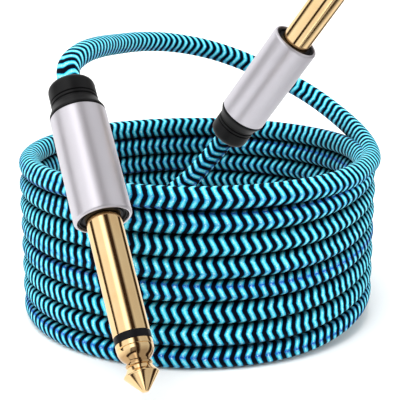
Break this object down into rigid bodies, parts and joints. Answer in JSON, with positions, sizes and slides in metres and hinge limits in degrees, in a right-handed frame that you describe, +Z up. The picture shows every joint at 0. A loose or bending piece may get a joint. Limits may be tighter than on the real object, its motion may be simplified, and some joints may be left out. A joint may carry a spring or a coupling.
{
  "type": "instrument cable",
  "caption": "Coiled instrument cable in a two-colour braided sleeve, with a straight two-pole phone plug on each end, silver barrel and black boot.",
  "frame": {"origin": "centre of the coil, on the surface that it rests on", "axes": "+Z up along the coil's axis; +Y away from the side that the hanging plug rests against; +X to the right of that side"},
  "size_m": [0.0776, 0.1012, 0.0826],
  "materials": {
    "braided_cord": "braided textile, turquoise and black",
    "gold": "polished pale gold plating",
    "silver_barrel": "satin, light silver",
    "black_rubber": "semi-matt moulded",
    "black_plastic": "moulded, low sheen",
    "tinned_steel": "tin plated",
    "fibre_washer": "pressed fibre",
    "clear_plastic": "thin clear tube",
    "black_jacket": "matt",
    "shrink_tube": "shrunk, soft sheen",
    "dielectric": "milky polyethylene",
    "copper": "fine bare strands",
    "solder": "bright, slightly dulled"
  },
  "bodies": {
    "coil_and_plug_cores": {"coil": "braided_cord", "lead_a": "braided_cord", "lead_b": "braided_cord", "tip_a": "gold", "insulator_ring_a": "black_plastic", "inner_tube_a": "black_plastic", "sleeve_a": "gold", "front_collar_a": "black_plastic", "ground_lug_a": "tinned_steel", "rear_washer_a": "fibre_washer", "tip_lug_a": "tinned_steel", "insulating_sleeve_a": "clear_plastic", "jacket_end_a": "black_jacket", "heat_shrink_a": "shrink_tube", "dielectric_a": "dielectric", "centre_wire_a": "tinned_steel", "shield_pigtail_a": "copper", "tip_solder_a": "solder", "ground_solder_a": "solder", "tip_b": "gold", "insulator_ring_b": "black_plastic", "inner_tube_b": "black_plastic", "sleeve_b": "gold", "front_collar_b": "black_plastic", "ground_lug_b": "tinned_steel", "rear_washer_b": "fibre_washer", "tip_lug_b": "tinned_steel", "insulating_sleeve_b": "clear_plastic", "jacket_end_b": "black_jacket", "heat_shrink_b": "shrink_tube", "dielectric_b": "dielectric", "centre_wire_b": "tinned_steel", "shield_pigtail_b": "copper", "tip_solder_b": "solder", "ground_solder_b": "solder"},
    "boot_a": {"boot_a": "black_rubber"},
    "barrel_a": {"barrel_a": "silver_barrel"},
    "boot_b": {"boot_b": "black_rubber"},
    "barrel_b": {"barrel_b": "silver_barrel"}
  },
  "joints": [
    {"name": "boot_a_slide", "type": "slide", "parent": "coil_and_plug_cores", "child": "boot_a", "axis": [-0.2561, 0.6182, 0.7431], "range_m": [0, 0.00225]},
    {"name": "barrel_a_unscrew", "type": "hinge", "parent": "boot_a", "child": "barrel_a", "pos_m": [-0.01886, -0.03702, 0.03843], "axis": [-0.2561, 0.6182, 0.7431], "range_deg": [0, 1080]},
    {"name": "boot_b_slide", "type": "slide", "parent": "coil_and_plug_cores", "child": "boot_b", "axis": [-0.5076, 0.336, -0.7934], "range_m": [0, 0.00225]},
    {"name": "barrel_b_unscrew", "type": "hinge", "parent": "boot_b", "child": "barrel_b", "pos_m": [0.01612, 0.00876, 0.04937], "axis": [-0.5076, 0.336, -0.7934], "range_deg": [0, 1080]}
  ],
  "couplings": [
    {"joint": "barrel_a_unscrew", "follows": "boot_a_slide", "rad_per_m": 8377.6},
    {"joint": "barrel_b_unscrew", "follows": "boot_b_slide", "rad_per_m": 8377.6}
  ]
}
